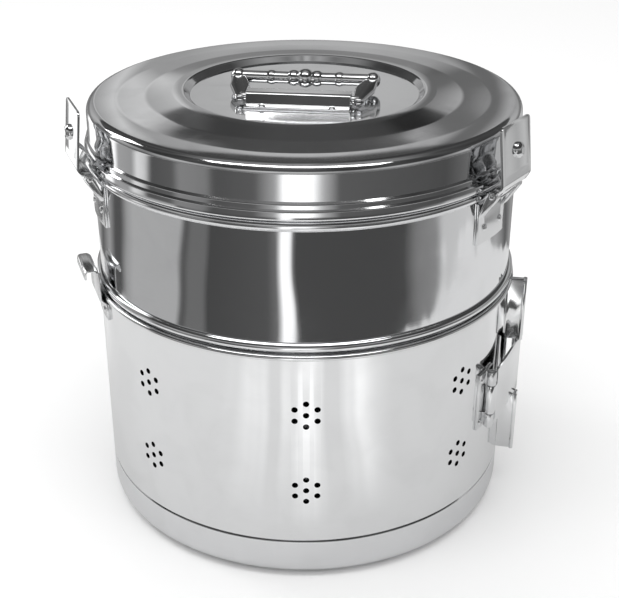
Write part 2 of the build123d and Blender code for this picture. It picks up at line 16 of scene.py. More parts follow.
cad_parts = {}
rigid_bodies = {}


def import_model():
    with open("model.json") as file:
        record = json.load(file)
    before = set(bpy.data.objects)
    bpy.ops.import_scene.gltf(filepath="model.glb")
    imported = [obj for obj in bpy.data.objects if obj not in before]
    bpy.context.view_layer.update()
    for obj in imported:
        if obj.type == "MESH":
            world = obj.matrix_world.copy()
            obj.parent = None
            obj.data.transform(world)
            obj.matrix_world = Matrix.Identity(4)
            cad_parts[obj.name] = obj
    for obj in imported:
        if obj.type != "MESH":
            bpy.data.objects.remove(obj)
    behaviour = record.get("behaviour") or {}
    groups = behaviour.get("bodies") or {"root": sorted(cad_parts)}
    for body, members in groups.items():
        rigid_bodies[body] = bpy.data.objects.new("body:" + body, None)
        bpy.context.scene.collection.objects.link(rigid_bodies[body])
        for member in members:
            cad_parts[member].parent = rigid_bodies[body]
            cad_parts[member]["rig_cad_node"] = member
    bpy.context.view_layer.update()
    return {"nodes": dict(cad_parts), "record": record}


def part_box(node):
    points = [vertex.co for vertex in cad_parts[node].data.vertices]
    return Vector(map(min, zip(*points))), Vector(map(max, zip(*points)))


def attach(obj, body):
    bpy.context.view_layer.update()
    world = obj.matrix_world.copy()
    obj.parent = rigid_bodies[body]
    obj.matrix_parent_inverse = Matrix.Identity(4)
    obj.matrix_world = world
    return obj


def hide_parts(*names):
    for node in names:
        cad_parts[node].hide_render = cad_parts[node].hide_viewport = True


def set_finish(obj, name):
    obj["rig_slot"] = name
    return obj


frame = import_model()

MM = 0.001

# %% [markdown]
# ## Camera and floor
#
# The photograph looks down at the drum from the front and a little from the right. The camera
# comes first, so that every later step can be looked at from it. The floor is one large pale
# plane. The background is the world's colour, which the camera sees as plain white.

# %% The camera
VIEW_AZIMUTH = 7.0           # degrees, from the front towards the right
VIEW_DISTANCE = 620.0        # millimetres from the drum's axis
VIEW_HEIGHT = 415.0
VIEW_PITCH = 26.3            # degrees down
VIEW_OFFSET = 2.7            # sideways
FOCAL_SHARE = 1.93           # focal length over the image width


def outward(azimuth):
    """From the drum's axis towards the wall. Azimuth 0 is the front, 90 is +X."""
    return Vector((sin(radians(azimuth)), -cos(radians(azimuth)), 0))


def along(azimuth):
    """Along the wall, towards a larger azimuth."""
    return Vector((cos(radians(azimuth)), sin(radians(azimuth)), 0))


def place(azimuth, radius, height, shift=0.0):
    """A point of the room. Sizes are millimetres, the point is in metres."""
    return (outward(azimuth) * radius + along(azimuth) * shift + Vector((0, 0, height))) * MM


bpy.ops.object.camera_add(
    location=place(VIEW_AZIMUTH, VIEW_DISTANCE, VIEW_HEIGHT, VIEW_OFFSET),
    rotation=(radians(90 - VIEW_PITCH), 0, radians(VIEW_AZIMUTH)),
)
camera = bpy.context.object
camera.data.lens = FOCAL_SHARE * camera.data.sensor_width
camera.data.clip_start = 10 * MM
bpy.context.scene.camera = camera
bpy.context.scene.view_settings.view_transform = "Standard"
print("lens", round(camera.data.lens, 1), "mm")

# %% [markdown]
# ## Helpers for modelling
#
# Sheet metal is a line with a thickness. Each piece starts as one vertex that is extruded from
# point to point along its section. That line is then spun round the axis or extruded
# sideways, and the Solidify modifier gives it its thickness. Bends are arcs in the line.

# %% Start a piece, close it and copy it
MERGED = 0.001 * MM          # corners closer than this become one


def let_go():
    """Object mode, with nothing selected."""
    if bpy.context.object and bpy.context.object.mode != "OBJECT":
        bpy.ops.object.mode_set(mode="OBJECT")
    bpy.ops.object.select_all(action="DESELECT")


def pick(piece):
    """Object mode, with one piece selected and active."""
    let_go()
    bpy.context.view_layer.objects.active = piece
    piece.select_set(True)


def apply_modifier(piece, kind, **settings):
    """Adds a modifier, sets it and applies it."""
    bpy.ops.object.modifier_add(type=kind)
    modifier = piece.modifiers[-1]
    for name, value in settings.items():
        setattr(modifier, name, value)
    bpy.ops.object.modifier_apply(modifier=modifier.name)


def thicken(piece, sheet):
    """Gives a surface the thickness of its sheet, half of it to each side."""
    apply_modifier(piece, "SOLIDIFY", thickness=sheet * MM, offset=0, use_even_offset=True)


def close_up(piece_name):
    """Merges doubles, turns the faces outwards and leaves edit mode."""
    bpy.ops.mesh.select_all(action="SELECT")
    bpy.ops.mesh.remove_doubles(threshold=MERGED)
    bpy.ops.mesh.normals_make_consistent(inside=False)
    bpy.ops.object.mode_set(mode="OBJECT")
    piece = bpy.context.object
    piece.name = piece_name
    return piece


def settle(piece, azimuth=0.0):
    """Turns a piece from the front to its place round the drum, and keeps that in its mesh."""
    pick(piece)
    piece.rotation_euler.z += radians(azimuth)
    bpy.ops.object.transform_apply(location=True, rotation=True, scale=True)


def copy_of(piece, name, shift=0.0):
    """The same piece again with a mesh of its own, moved to the right by some millimetres."""
    pick(piece)
    bpy.ops.object.duplicate()
    twin = bpy.context.object
    twin.name = name
    twin.location.x = shift * MM
    settle(twin)
    return twin


def polish_edges(piece, width, rounds=2, angle=35):
    """Bevels the edges that bend by more than an angle, and shades the rest smooth."""
    if width:
        apply_modifier(
            piece, "BEVEL", width=width * MM, segments=rounds, limit_method="ANGLE",
            angle_limit=radians(angle), harden_normals=False,
        )
    bpy.ops.object.shade_smooth_by_angle(angle=radians(angle))


# %% Draw a section
ARC_STEP = 12.0              # degrees of bend for each edge of an arc


def rounded(points, roundings):
    """A line's points, with arcs at its corners. A rounding of 0 keeps its corner sharp."""
    line = [Vector(points[0])]
    for before, corner, after, radius in zip(points, points[1:], points[2:], roundings):
        corner = Vector(corner)
        into = (corner - Vector(before)).normalized()
        out = (Vector(after) - corner).normalized()
        bend = acos(max(-1.0, min(1.0, into.dot(out))))
        if radius == 0 or bend < radians(1):
            line.append(corner)
            continue
        hand = 1 if into.cross(out) > 0 else -1
        aside = Vector((-into.y, into.x)) * hand * radius
        centre = corner - into * radius * tan(bend / 2) + aside
        steps = max(2, ceil(bend / radians(ARC_STEP)))
        for step in range(steps + 1):
            turn = hand * bend * step / steps
            line.append(centre - Matrix.Rotation(turn, 2) @ aside)
    line.append(Vector(points[-1]))
    return line


def front(u, v):
    """The upright plane at the front: distance from the axis and height."""
    return Vector((0, -u, v)) * MM


def draw_line(line, plane=front):
    """One vertex, extruded from point to point of a section."""
    let_go()
    bpy.ops.mesh.primitive_plane_add(size=MM)
    bpy.ops.object.mode_set(mode="EDIT")
    bpy.ops.mesh.select_mode(type="VERT")
    bpy.ops.mesh.merge(type="CENTER")
    spots = [plane(*point) for point in line]
    bpy.ops.transform.translate(value=spots[0])
    for here, there in zip(spots, spots[1:]):
        bpy.ops.mesh.extrude_region_move(TRANSFORM_OT_translate={"value": there - here})
    bpy.ops.mesh.select_all(action="SELECT")


def choose(kind, test):
    """Selects, in edit mode, the vertices or faces whose middle in millimetres passes a test."""
    bpy.ops.mesh.select_mode(type=kind)
    bpy.ops.mesh.select_all(action="DESELECT")
    mesh = bmesh.from_edit_mesh(bpy.context.object.data)
    for part in mesh.verts if kind == "VERT" else mesh.faces:
        middle = part.co if kind == "VERT" else part.calc_center_median()
        part.select_set(bool(test(middle / MM)))
    mesh.select_flush_mode()
    bmesh.update_edit_mesh(bpy.context.object.data)


# %% Turn, stretch and thicken
TURN_STEPS = 256             # edges round the drum
SMALL_STEPS = 40             # edges round a rivet or a rod


def turned(name, line, sheet=0.0, steps=TURN_STEPS, centre=(0, 0, 0), axis=(0, 0, 1), plane=front):
    """A section that goes once round an axis. With a sheet thickness the line is its middle."""
    draw_line(line, plane)
    bpy.ops.mesh.spin(steps=steps, angle=2 * pi, center=centre, axis=axis)
    piece = close_up(name)
    if sheet:
        thicken(piece, sheet)
    return piece


def stretched(name, line, sheet, width, plane=front):
    """A strip of sheet: a section that is extruded along X, half of it to each side."""
    draw_line(line, plane)
    half = Vector((width / 2, 0, 0)) * MM
    bpy.ops.transform.translate(value=-half)
    bpy.ops.mesh.extrude_region_move(TRANSFORM_OT_translate={"value": 2 * half})
    piece = close_up(name)
    thicken(piece, sheet)
    return piece


def add_cylinder(radius, length, spot, turn=(0, 0, 0), sides=SMALL_STEPS):
    """Adds a cylinder to the mesh in edit mode, or starts a new piece with it."""
    bpy.ops.mesh.primitive_cylinder_add(
        vertices=sides, radius=radius * MM, depth=length * MM, location=spot, rotation=turn,
    )
    if bpy.context.object.mode != "EDIT":
        bpy.ops.object.mode_set(mode="EDIT")


def keep(piece, body, material_slot, *nodes):
    """Puts a finished piece on its body, in the place of the CAD nodes it stands for."""
    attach(piece, body)
    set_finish(piece, material_slot)
    if nodes:
        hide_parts(*nodes)
    print(piece.name, len(piece.data.polygons), "faces")


# %% [markdown]
# ## Body
#
# The body is drawn from one sheet, with a raised floor, a rounded base, a bead at mid height,
# a bead under the lid and a narrower neck that the lid slides over. One section line holds all
# of that. Spinning it keeps the reflections smooth, which a coarse mesh from CAD wouldn't.

# %% Sizes of the body, in millimetres
BODY_RADIUS, BODY_SHEET, RIM_HEIGHT = 114.0, 1.0, 205.0
BELT_INNER, BELT_SHEET = 114.3, 0.9
BELT_OUTER = BELT_INNER + BELT_SHEET
BASE_HEIGHT, BASE_CORNER, FOOT_WIDTH = 24.0, 9.0, 8.0
FLOOR_RISE, FLOOR_RAMP, FLOOR_BEND = 3.0, 4.0, 2.0
LEDGE_SLOPE, LEDGE_BEND = 1.2, 0.6
MID_BEAD, MID_BEAD_SIZE = 138.7, 2.5
RIM_BEAD_SIZE = 2.8
RIM_BEAD = RIM_HEIGHT - RIM_BEAD_SIZE
BEAD_ROOT = 0.5              # rounding where a bead leaves its wall
BEAD_ROUND = 0.97            # rounding of its outer corners, as a share of its half height
NECK_FOOT, NECK_TOP = RIM_HEIGHT + 0.6, RIM_HEIGHT + 19.0
NECK_STEP, NECK_BEND = 1.0, 0.5


def bead(radius, height, size):
    """Corners and roundings of a bead that stands out of a wall by half its height."""
    rise = size - BODY_SHEET / 2
    corners = [
        (radius, height - rise), (radius + size, height - rise),
        (radius + size, height + rise), (radius, height + rise),
    ]
    return corners, [BEAD_ROOT, rise * BEAD_ROUND, rise * BEAD_ROUND, BEAD_ROOT]


# %% The body's section, spun once round
half_sheet = BODY_SHEET / 2
shell, base = BODY_RADIUS - half_sheet, BELT_OUTER - half_sheet
foot_inner = BELT_OUTER - BASE_CORNER - FOOT_WIDTH
mid_bead, mid_rounds = bead(shell, MID_BEAD, MID_BEAD_SIZE)
rim_bead, rim_rounds = bead(shell, RIM_BEAD, RIM_BEAD_SIZE)
body_line = rounded(
    [
        (0, FLOOR_RISE), (foot_inner - FLOOR_RAMP, FLOOR_RISE), (foot_inner, half_sheet),
        (base, half_sheet), (base, BASE_HEIGHT - LEDGE_SLOPE), (shell, BASE_HEIGHT),
        *mid_bead, *rim_bead, (shell, NECK_FOOT),
        (shell - NECK_STEP, NECK_FOOT + NECK_STEP), (shell - NECK_STEP, NECK_TOP),
    ],
    [
        FLOOR_BEND, FLOOR_BEND, BASE_CORNER - half_sheet, LEDGE_BEND, LEDGE_BEND,
        *mid_rounds, *rim_rounds, NECK_BEND, NECK_BEND,
    ],
)
drum_body = turned("drum_body", body_line, BODY_SHEET)

# %% [markdown]
# ### Steam holes
#
# Steam goes in through groups of seven small holes, in two rows, at eight places. The belt has
# the same groups. The holes are cylinders in one cutter mesh, taken out with a Boolean.

# %% The cutter and the cut
HOLE_RADIUS, HOLE_RING = 1.6, 6.6
HOLE_SIDES, CUTTER_LENGTH = 20, 10.0
HOLE_ROWS = (56.0, 101.0)
STATIONS = [7.5 + 45 * station for station in range(8)]      # azimuths of the groups


def pierce(piece, radius):
    """Cuts the steam holes into a round wall."""
    let_go()
    spots = [(0, 0)] + [
        (HOLE_RING * cos(radians(turn)), HOLE_RING * sin(radians(turn)))
        for turn in range(90, 450, 60)
    ]
    for azimuth in STATIONS:
        facing = (pi / 2, 0, radians(azimuth))
        for row in HOLE_ROWS:
            for shift, rise in spots:
                spot = place(azimuth, radius, row + rise, shift)
                add_cylinder(HOLE_RADIUS, CUTTER_LENGTH, spot, facing, HOLE_SIDES)
    cutter = close_up("hole_cutter")
    pick(piece)
    apply_modifier(piece, "BOOLEAN", object=cutter, operation="DIFFERENCE", solver="EXACT")
    bpy.data.objects.remove(cutter)


pierce(drum_body, BODY_RADIUS)
polish_edges(drum_body, width=0)
keep(drum_body, "drum", "body", "drum_shell")

# %% [markdown]
# ## Lid
#
# The lid is another spun sheet: a recessed middle, a round crest, a hollow slope out to a flat
# ring, a soft shoulder, and a skirt that steps out to a rolled edge. The slope is a little
# hollow, because that bends what it reflects the way the real one does.

# %% The lid's section
LID_SHEET, SKIRT, LID_BOTTOM = 1.0, 114.9, 205.3
DISC, CREST, RING = 231.3, 234.5, 231.5
DISC_EDGE, CREST_EDGE = 61.0, 64.5
SLOPE = [(70, CREST - 0.55), (84, RING + 0.75), (99, RING)]
SKIRT_STEPS = [(0, 214.3), (1.2, 213.1), (1.2, 210.9), (2.2, 209.9)]    # out, and height
ROLL_OUT, ROLL_END = 2.2, 208.6
LID_BENDS = [2, 1.9, 8, 30, 40, 4.5, 0.55, 0.55, 0.5, 0.6, 1.0, 1.0]
lid_foot = LID_BOTTOM + LID_SHEET / 2
lid_line = rounded(
    [
        (0, DISC), (DISC_EDGE, DISC), (CREST_EDGE, CREST), *SLOPE, (SKIRT, RING),
        *((SKIRT + out, height) for out, height in SKIRT_STEPS),
        (SKIRT + ROLL_OUT, lid_foot), (SKIRT, lid_foot), (SKIRT, ROLL_END),
    ],
    LID_BENDS,
)
lid_cover = turned("lid_cover", lid_line, LID_SHEET)
polish_edges(lid_cover, width=0)
keep(lid_cover, "lid", "lid", "lid_shell")

# %% [markdown]
# ## Belt
#
# The belt is an open band with a rolled top edge. Its two ends turn outwards as flanges with a
# notch in the middle, where the hasp closes them. The band is spun for less than a full turn,
# and each flange is a bent strip that starts tangent to it.

# %% The band
CLOSURE = 84.5               # azimuth where the belt closes
FLANGE_GAP, FLANGE_DEPTH = 3.0, 9.0
BELT_STEPS = 960             # finer than the body, as the holes break up the facets round them
BELT_BOTTOM, BELT_TOP = 24.4, 135.3
BELT_MIDDLE = BELT_INNER + BELT_SHEET / 2
ROLL_RADIUS = 1.5
END_RUN = 1.6                # from the band's end to the middle of its flange
FLANGE_BOTTOM, FLANGE_TOP = BELT_BOTTOM + 1.5, BELT_TOP - ROLL_RADIUS
NEAR_FRONT = 110             # vertices further forward than this are near the band's start
flange_shift = (FLANGE_GAP + BELT_SHEET) / 2
end_angle = (flange_shift + END_RUN) / BELT_MIDDLE
roll = ROLL_RADIUS - BELT_SHEET / 2
band_line = [(BELT_MIDDLE, BELT_BOTTOM + 0.2), (BELT_MIDDLE, FLANGE_BOTTOM)]
for turn in range(180, -101, -20):
    out, rise = roll * cos(radians(turn)), roll * sin(radians(turn))
    band_line.append((BELT_INNER + ROLL_RADIUS + out, FLANGE_TOP + rise))
draw_line(band_line)
bpy.ops.mesh.spin(steps=BELT_STEPS, angle=2 * (pi - end_angle), center=(0, 0, 0), axis=(0, 0, 1))
belt_wrap = close_up("belt_wrap")
lean = sum(v.co.x for v in belt_wrap.data.vertices if -v.co.y > NEAR_FRONT * MM)
settle(belt_wrap, CLOSURE + degrees(end_angle if lean > 0 else -end_angle))
thicken(belt_wrap, BELT_SHEET)
pierce(belt_wrap, BELT_INNER)
polish_edges(belt_wrap, width=0)
keep(belt_wrap, "belt", "belt", "belt_band")

# %% The two flanges
NOTCH, NOTCH_RIDGE = (62.0, 98.0), 1.6
FLANGE_START, FLANGE_BEND = 1.7, 0.9
CURL = 0.65
RIDGE_EDGE = BELT_OUTER + NOTCH_RIDGE


def flange(name, hand):
    """A strip that leaves the band, turns outwards and ends in a small roll."""
    corners = [
        (BELT_MIDDLE - 0.02, hand * (flange_shift + FLANGE_START)),
        (BELT_MIDDLE, hand * flange_shift), (RIDGE_EDGE, hand * flange_shift),
    ]
    line = rounded(corners, [FLANGE_BEND])
    for turn in range(30, 331, 30):
        out, aside = CURL * sin(radians(turn)), CURL - CURL * cos(radians(turn))
        line.append((BELT_OUTER + FLANGE_DEPTH + out, hand * (flange_shift + aside)))
    draw_line(line, lambda u, v: place(CLOSURE, u, FLANGE_BOTTOM, v))
    levels = [FLANGE_BOTTOM, *NOTCH, FLANGE_TOP]
    for low, high in zip(levels, levels[1:]):
        rise = (0, 0, (high - low) * MM)
        bpy.ops.mesh.extrude_region_move(TRANSFORM_OT_translate={"value": rise})
    choose("FACE", lambda middle: (
        NOTCH[0] < middle.z < NOTCH[1] and middle.dot(outward(CLOSURE)) > RIDGE_EDGE
    ))
    bpy.ops.mesh.delete(type="FACE")
    piece = close_up(name)
    thicken(piece, BELT_SHEET)
    polish_edges(piece, 0.15)
    keep(piece, "belt", "belt")


flange("belt_flange_rear", 1)
flange("belt_flange_front", -1)

# %% [markdown]
# ## Handle
#
# The handle has two pieces: a pressed saddle, riveted to the lid, and a bail that folds down
# behind it. The grip has a larger ball in the middle between two collars, small beads on the
# way, and balls at its ends. The arms are flat leaves that turn in the saddle's cheeks.

# %% The saddle
DISC_TOP = DISC + LID_SHEET / 2
PIVOT_Y, PIVOT_Z = -22.2, DISC_TOP + 3.3
SADDLE_HALF, SADDLE_RISE = 27.0, 6.2
SADDLE_SHEET, SADDLE_BEND = 1.2, 1.3
BRIM_HALF, WALL_HALF, CROWN_HALF = 11.8, 6.3, 4.0


def across(u, v):
    """The upright plane along Y: a place along Y and a height."""
    return Vector((0, u, v)) * MM


brim, crown = DISC_TOP + SADDLE_SHEET / 2, DISC_TOP + SADDLE_RISE
hat = [
    (-BRIM_HALF, brim), (-WALL_HALF, brim), (-CROWN_HALF, crown),
    (CROWN_HALF, crown), (WALL_HALF, brim), (BRIM_HALF, brim),
]
saddle_line = rounded([(PIVOT_Y + u, v) for u, v in hat], [SADDLE_BEND] * 4)
saddle = stretched("saddle", saddle_line, SADDLE_SHEET, 2 * SADDLE_HALF, across)
polish_edges(saddle, 0.3, 3)
keep(saddle, "lid", "handle", "handle_strap")

# %% The saddle's cheeks, which close its ends
CHEEK_X, CHEEK_FOOT, CHEEK_CROWN = SADDLE_HALF - 1.3, 5.7, 3.4
cheek_low, cheek_high = DISC_TOP + 0.02, crown - 0.3
cheek = [
    (-CHEEK_FOOT, cheek_low), (-CHEEK_CROWN, cheek_high), (CHEEK_CROWN, cheek_high),
    (CHEEK_FOOT, cheek_low), (-CHEEK_FOOT, cheek_low),
]
draw_line(cheek, lambda u, v: Vector((-CHEEK_X, PIVOT_Y + u, v)) * MM)
bpy.ops.mesh.remove_doubles(threshold=MERGED)
bpy.ops.mesh.edge_face_add()
cheek_left = close_up("saddle_cheek_left")
thicken(cheek_left, SADDLE_SHEET)
polish_edges(cheek_left, 0.2)
cheek_right = copy_of(cheek_left, "saddle_cheek_right", 2 * CHEEK_X)
keep(cheek_left, "lid", "handle")
keep(cheek_right, "lid", "handle")

# %% The bail's grip, turned like a spindle
GRIP_RUN, GRIP_LIFT = 26.2, 3.1
GRIP_HALF, ROD_RADIUS, END_BALL = 36.0, 3.2, 4.2
GRIP_Y, GRIP_Z = PIVOT_Y + GRIP_RUN, PIVOT_Z + GRIP_LIFT
BEADS = [(0, 5.0), (6.2, 4.2), (18.2, 3.8), (GRIP_HALF, END_BALL)]
BEADS += [(-x, r) for x, r in BEADS[1:]]
GRIP_STEP = 0.3


def grip_radius(x):
    """The grip's radius at a place along it: the largest of the rod and the balls."""
    rod = ROD_RADIUS if abs(x) < GRIP_HALF else 0.0
    balls = [sqrt(r * r - (x - c) ** 2) for c, r in BEADS if abs(x - c) < r]
    return max([rod, *balls])


grip_end = GRIP_HALF + END_BALL
stops = [-grip_end + GRIP_STEP * k for k in range(int(2 * grip_end / GRIP_STEP) + 1)]
grip_line = [(-grip_end, 0), *((x, grip_radius(x)) for x in stops[1:-1]), (grip_end, 0)]
bail_grip = turned(
    "bail_grip", grip_line, steps=SMALL_STEPS, centre=(0, GRIP_Y * MM, GRIP_Z * MM),
    axis=(1, 0, 0), plane=lambda x, r: Vector((x, GRIP_Y, GRIP_Z + r)) * MM,
)
polish_edges(bail_grip, width=0, angle=50)
keep(bail_grip, "bail", "handle", "handle_bail")

# %% The bail's leaf-shaped arms
ARM_SHEET = 3.2
grip_length = sqrt(GRIP_RUN ** 2 + GRIP_LIFT ** 2)
lift_angle = acos(GRIP_RUN / grip_length)
ARM_ROUNDS = ((30.7, 0, 2.9), (33.0, 13.0, 5.2), (GRIP_HALF, grip_length, 3.2))
let_go()
for x, y, radius in ARM_ROUNDS:
    add_cylinder(radius, ARM_SHEET, Vector((x, y, 0)) * MM)
bpy.ops.mesh.select_all(action="SELECT")
bpy.ops.mesh.convex_hull()
bpy.ops.mesh.dissolve_limited(angle_limit=radians(1))
arm_right = close_up("bail_arm_right")
settle(arm_right)
polish_edges(arm_right, 1.0, 4)
arm_left = copy_of(arm_right, "bail_arm_left")
arm_left.rotation_euler.y = pi     # both faces of a leaf are alike, so this mirrors it
settle(arm_left)
for arm in (arm_left, arm_right):
    arm.rotation_euler.x = lift_angle
    arm.location = Vector((0, PIVOT_Y, PIVOT_Z)) * MM
    settle(arm)
    keep(arm, "bail", "handle")

# %% The short axles that the bail turns on
AXLE_X, AXLE_RADIUS, AXLE_LENGTH = 27.8, 2.0, 6.4
let_go()
add_cylinder(AXLE_RADIUS, AXLE_LENGTH, Vector((-AXLE_X, PIVOT_Y, PIVOT_Z)) * MM, (0, pi / 2, 0))
axle_left = close_up("bail_axle_left")
settle(axle_left)
polish_edges(axle_left, 0.3)
axle_right = copy_of(axle_left, "bail_axle_right", 2 * AXLE_X)
keep(axle_left, "bail", "handle")
keep(axle_right, "bail", "handle")

# %% [markdown]
# ## Side clips
#
# Each clip is a pressed plate that leans towards the lid, bent at its lower edge and carried by
# a pin. A round boss in its middle holds a leaf spring on the inside. The plate gets a pressed
# rim, which catches a bright line all round.

# %% Sizes of the clips
CLIPS = {"left": -62.0, "right": 62.0}       # azimuths
CLIP_SHEET, CLIP_PIN, EYE_RADIUS = 1.2, (120.6, 203.0), 2.0
FOLD = Vector((126.3, 209.5))
CLIP_TOP = FOLD + Vector((-3.0, 29.0))
CLIP_ROOT = Vector((CLIP_PIN[0] + EYE_RADIUS, CLIP_PIN[1]))
clip_up = (CLIP_TOP - FOLD).normalized()
clip_out = Vector((clip_up.y, -clip_up.x))
clip_facing = Vector((0, -clip_out.x, clip_out.y))
bevel_down = (CLIP_ROOT - FOLD).normalized()
BEVEL_RUN, FOLD_BEND = 4.6, 2.5
PANEL_SLOPE, PANEL_RISE = 1.4, 0.5
PLATE_HALF, PLATE_EDGE, PLATE_CORNER = 15.0, 2.5, 2.5
TONGUE_WIDTH, TONGUE_RUN = 17.0, 3.4
SPRING_SHEET, SPRING_WIDTH, SPRING_NOSE = 0.8, 12.0, Vector((118.4, 213.5))
BOSS_RADIUS, BOSS_HEIGHT, BOSS_ROUNDING, BOSS_LEVEL = 4.0, 3.0, 1.2, 15.0


def on_both_clips(piece, kind, material_slot, *node_kinds):
    """Puts a piece that was modelled at the front on the left clip, and a copy on the right."""
    for side, part in zip(CLIPS, (piece, copy_of(piece, "twin"))):
        part.name = f"clip_{side}_{kind}"
        settle(part, CLIPS[side])
        keep(part, f"{side}_clip", material_slot, *(f"clip_{side}_{node}" for node in node_kinds))


def dome(name, radius, height, rounding):
    """A rivet head or boss on the origin: a low dome with a rounded edge."""
    line = rounded(
        [(0, 0), (radius, 0), (radius * 0.98, height * 0.45), (radius * 0.55, height), (0, height)],
        [0, rounding, rounding * 2],
    )
    piece = turned(name, line, steps=SMALL_STEPS)
    polish_edges(piece, width=0, angle=60)
    return piece


def aim(piece, foot, direction):
    """Puts a dome on its place, pointing in a direction."""
    piece.rotation_euler = direction.to_track_quat("Z", "Y").to_euler()
    piece.location = foot
    settle(piece)


# %% The plate of both clips
bevel_end = FOLD + bevel_down * BEVEL_RUN
draw_line(rounded([bevel_end, FOLD, FOLD + clip_up * 4, CLIP_TOP], [FOLD_BEND, 0]))
bpy.ops.transform.translate(value=(-PLATE_HALF * MM, 0, 0))
for width in (PLATE_EDGE, 2 * (PLATE_HALF - PLATE_EDGE), PLATE_EDGE):
    bpy.ops.mesh.extrude_region_move(TRANSFORM_OT_translate={"value": (width * MM, 0, 0)})
# The two upper corners are rounded
choose("VERT", lambda middle: middle.z > CLIP_TOP.y - 0.1 and abs(middle.x) > PLATE_HALF - 0.1)
bpy.ops.mesh.bevel(offset=PLATE_CORNER * MM, segments=6, affect="VERTICES")
# The large face between the two edge strips becomes the pressed panel
choose("FACE", lambda middle: middle.z > FOLD.y + 6 and abs(middle.x) < 5)
bpy.ops.mesh.inset(thickness=PANEL_SLOPE * MM)
bpy.ops.transform.translate(value=clip_facing * PANEL_RISE * MM)
plate = close_up("plate")
thicken(plate, CLIP_SHEET)
polish_edges(plate, 0.35, 3, 40)
on_both_clips(plate, "cover", "clip", "plate")

# %% Tongue, eye, spring and boss of both clips
tongue_line = [CLIP_ROOT, FOLD + bevel_down * TONGUE_RUN]
tongue = stretched("tongue", tongue_line, CLIP_SHEET, TONGUE_WIDTH)
polish_edges(tongue, 0.2)
on_both_clips(tongue, "tongue", "clip")

eye_line = []
for turn in range(0, 331, 15):
    out, rise = EYE_RADIUS * cos(radians(turn)), EYE_RADIUS * sin(radians(turn))
    eye_line.append((CLIP_PIN[0] + out, CLIP_PIN[1] + rise))
eye = stretched("eye", eye_line, CLIP_SHEET, TONGUE_WIDTH)
polish_edges(eye, 0.2)
on_both_clips(eye, "eye", "clip")

spring_face = FOLD - clip_out
spring_line = rounded(
    [
        spring_face + clip_up * 20, spring_face + clip_up * 10,
        SPRING_NOSE, SPRING_NOSE + Vector((2.8, -5)),
    ],
    [4, 2],
)
spring = stretched("spring", spring_line, SPRING_SHEET, SPRING_WIDTH)
polish_edges(spring, 0.15)
on_both_clips(spring, "leaf_spring", "spring", "spring")

boss = dome("boss", BOSS_RADIUS, BOSS_HEIGHT, BOSS_ROUNDING)
boss_foot = FOLD + clip_up * BOSS_LEVEL + clip_out * (CLIP_SHEET / 2 + PANEL_RISE)
aim(boss, front(*boss_foot), clip_facing)
on_both_clips(boss, "round_boss", "clip", "boss")

# %% [markdown]
# ## Small fittings
#
# Leaf plates, ears, pins and the hasp already have the right form in the CAD model, but their
# edges are perfectly sharp and would never catch the light. A copy of each is merged, freed of
# the triangles on its flat faces, and given small bevels.

# %% Copies of CAD parts with soft edges
def refined(node, name, body, material_slot, width=0.2):
    """A copy of a CAD node with merged corners, clean flat faces and rounded edges."""
    piece = bpy.data.objects.new(name, frame["nodes"][node].data.copy())
    bpy.context.scene.collection.objects.link(piece)
    pick(piece)
    piece.data.materials.clear()
    bpy.ops.mesh.customdata_custom_splitnormals_clear()
    bpy.ops.object.mode_set(mode="EDIT")
    bpy.ops.mesh.select_all(action="SELECT")
    bpy.ops.mesh.remove_doubles(threshold=2 * MERGED)
    bpy.ops.mesh.dissolve_limited(angle_limit=radians(1))
    bpy.ops.object.mode_set(mode="OBJECT")
    polish_edges(piece, width)
    keep(piece, body, material_slot, node)


refined("hinge_body_leaf", "hinge_lower_leaf", "drum", "fitting")
refined("hinge_lid_leaf", "hinge_upper_leaf", "lid", "fitting")
refined("hinge_pin", "hinge_rod", "drum", "pin")
for side in CLIPS:
    refined(f"clip_{side}_base", f"clip_{side}_bracket", "drum", "fitting")
    refined(f"clip_{side}_pin", f"clip_{side}_rod", "drum", "pin")
refined("latch_bracket", "hasp_bracket", "belt", "fitting")
refined("latch_pin", "hasp_rod", "belt", "pin")
refined("latch_keeper", "hasp_keeper", "belt", "pin")
refined("latch_hasp", "hasp", "hasp", "clip", 0.25)
refined("belt_lug", "thumb_lug", "belt", "fitting", 0.3)

# %% Rivet heads
RIVETS = {"drum": ["hinge_body_rivet", "clip_left_rivet", "clip_right_rivet"],
          "lid": ["hinge_lid_rivet", "handle_rivet"], "belt": ["latch_rivet", "lug_rivet"]}
STUD_RADIUS, STUD_HEIGHT, STUD_ROUNDING = 1.9, 0.95, 0.4
STUD_FOOT = 0.47             # from the middle of a rivet's box down to its foot
stud = dome("stud", STUD_RADIUS, STUD_HEIGHT, STUD_ROUNDING)
for body, families in RIVETS.items():
    for family in families:
        for node in sorted(name for name in frame["nodes"] if name.startswith(family)):
            low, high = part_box(node)
            middle = (low + high) / 2
            if family == "handle_rivet":
                direction = Vector((0, 0, 1))
                foot = Vector((middle.x, middle.y, low.z))
            else:
                direction = Vector((middle.x, middle.y, 0)).normalized()
                foot = middle - direction * STUD_FOOT * MM
            head = copy_of(stud, node.replace("rivet", "stud"))
            aim(head, foot, direction)
            keep(head, body, "rivet", node)
bpy.data.objects.remove(stud)

# %% [markdown]
# ## Finish
#
# Polished steel is a metal shader with a low roughness. Close up it has polishing lines that
# follow the way the sheet turned on the lathe, faint smears where it was wiped, and a very
# slight waviness that bends reflections. All of these read the Object coordinates, so that
# they stay on the metal when a part moves.

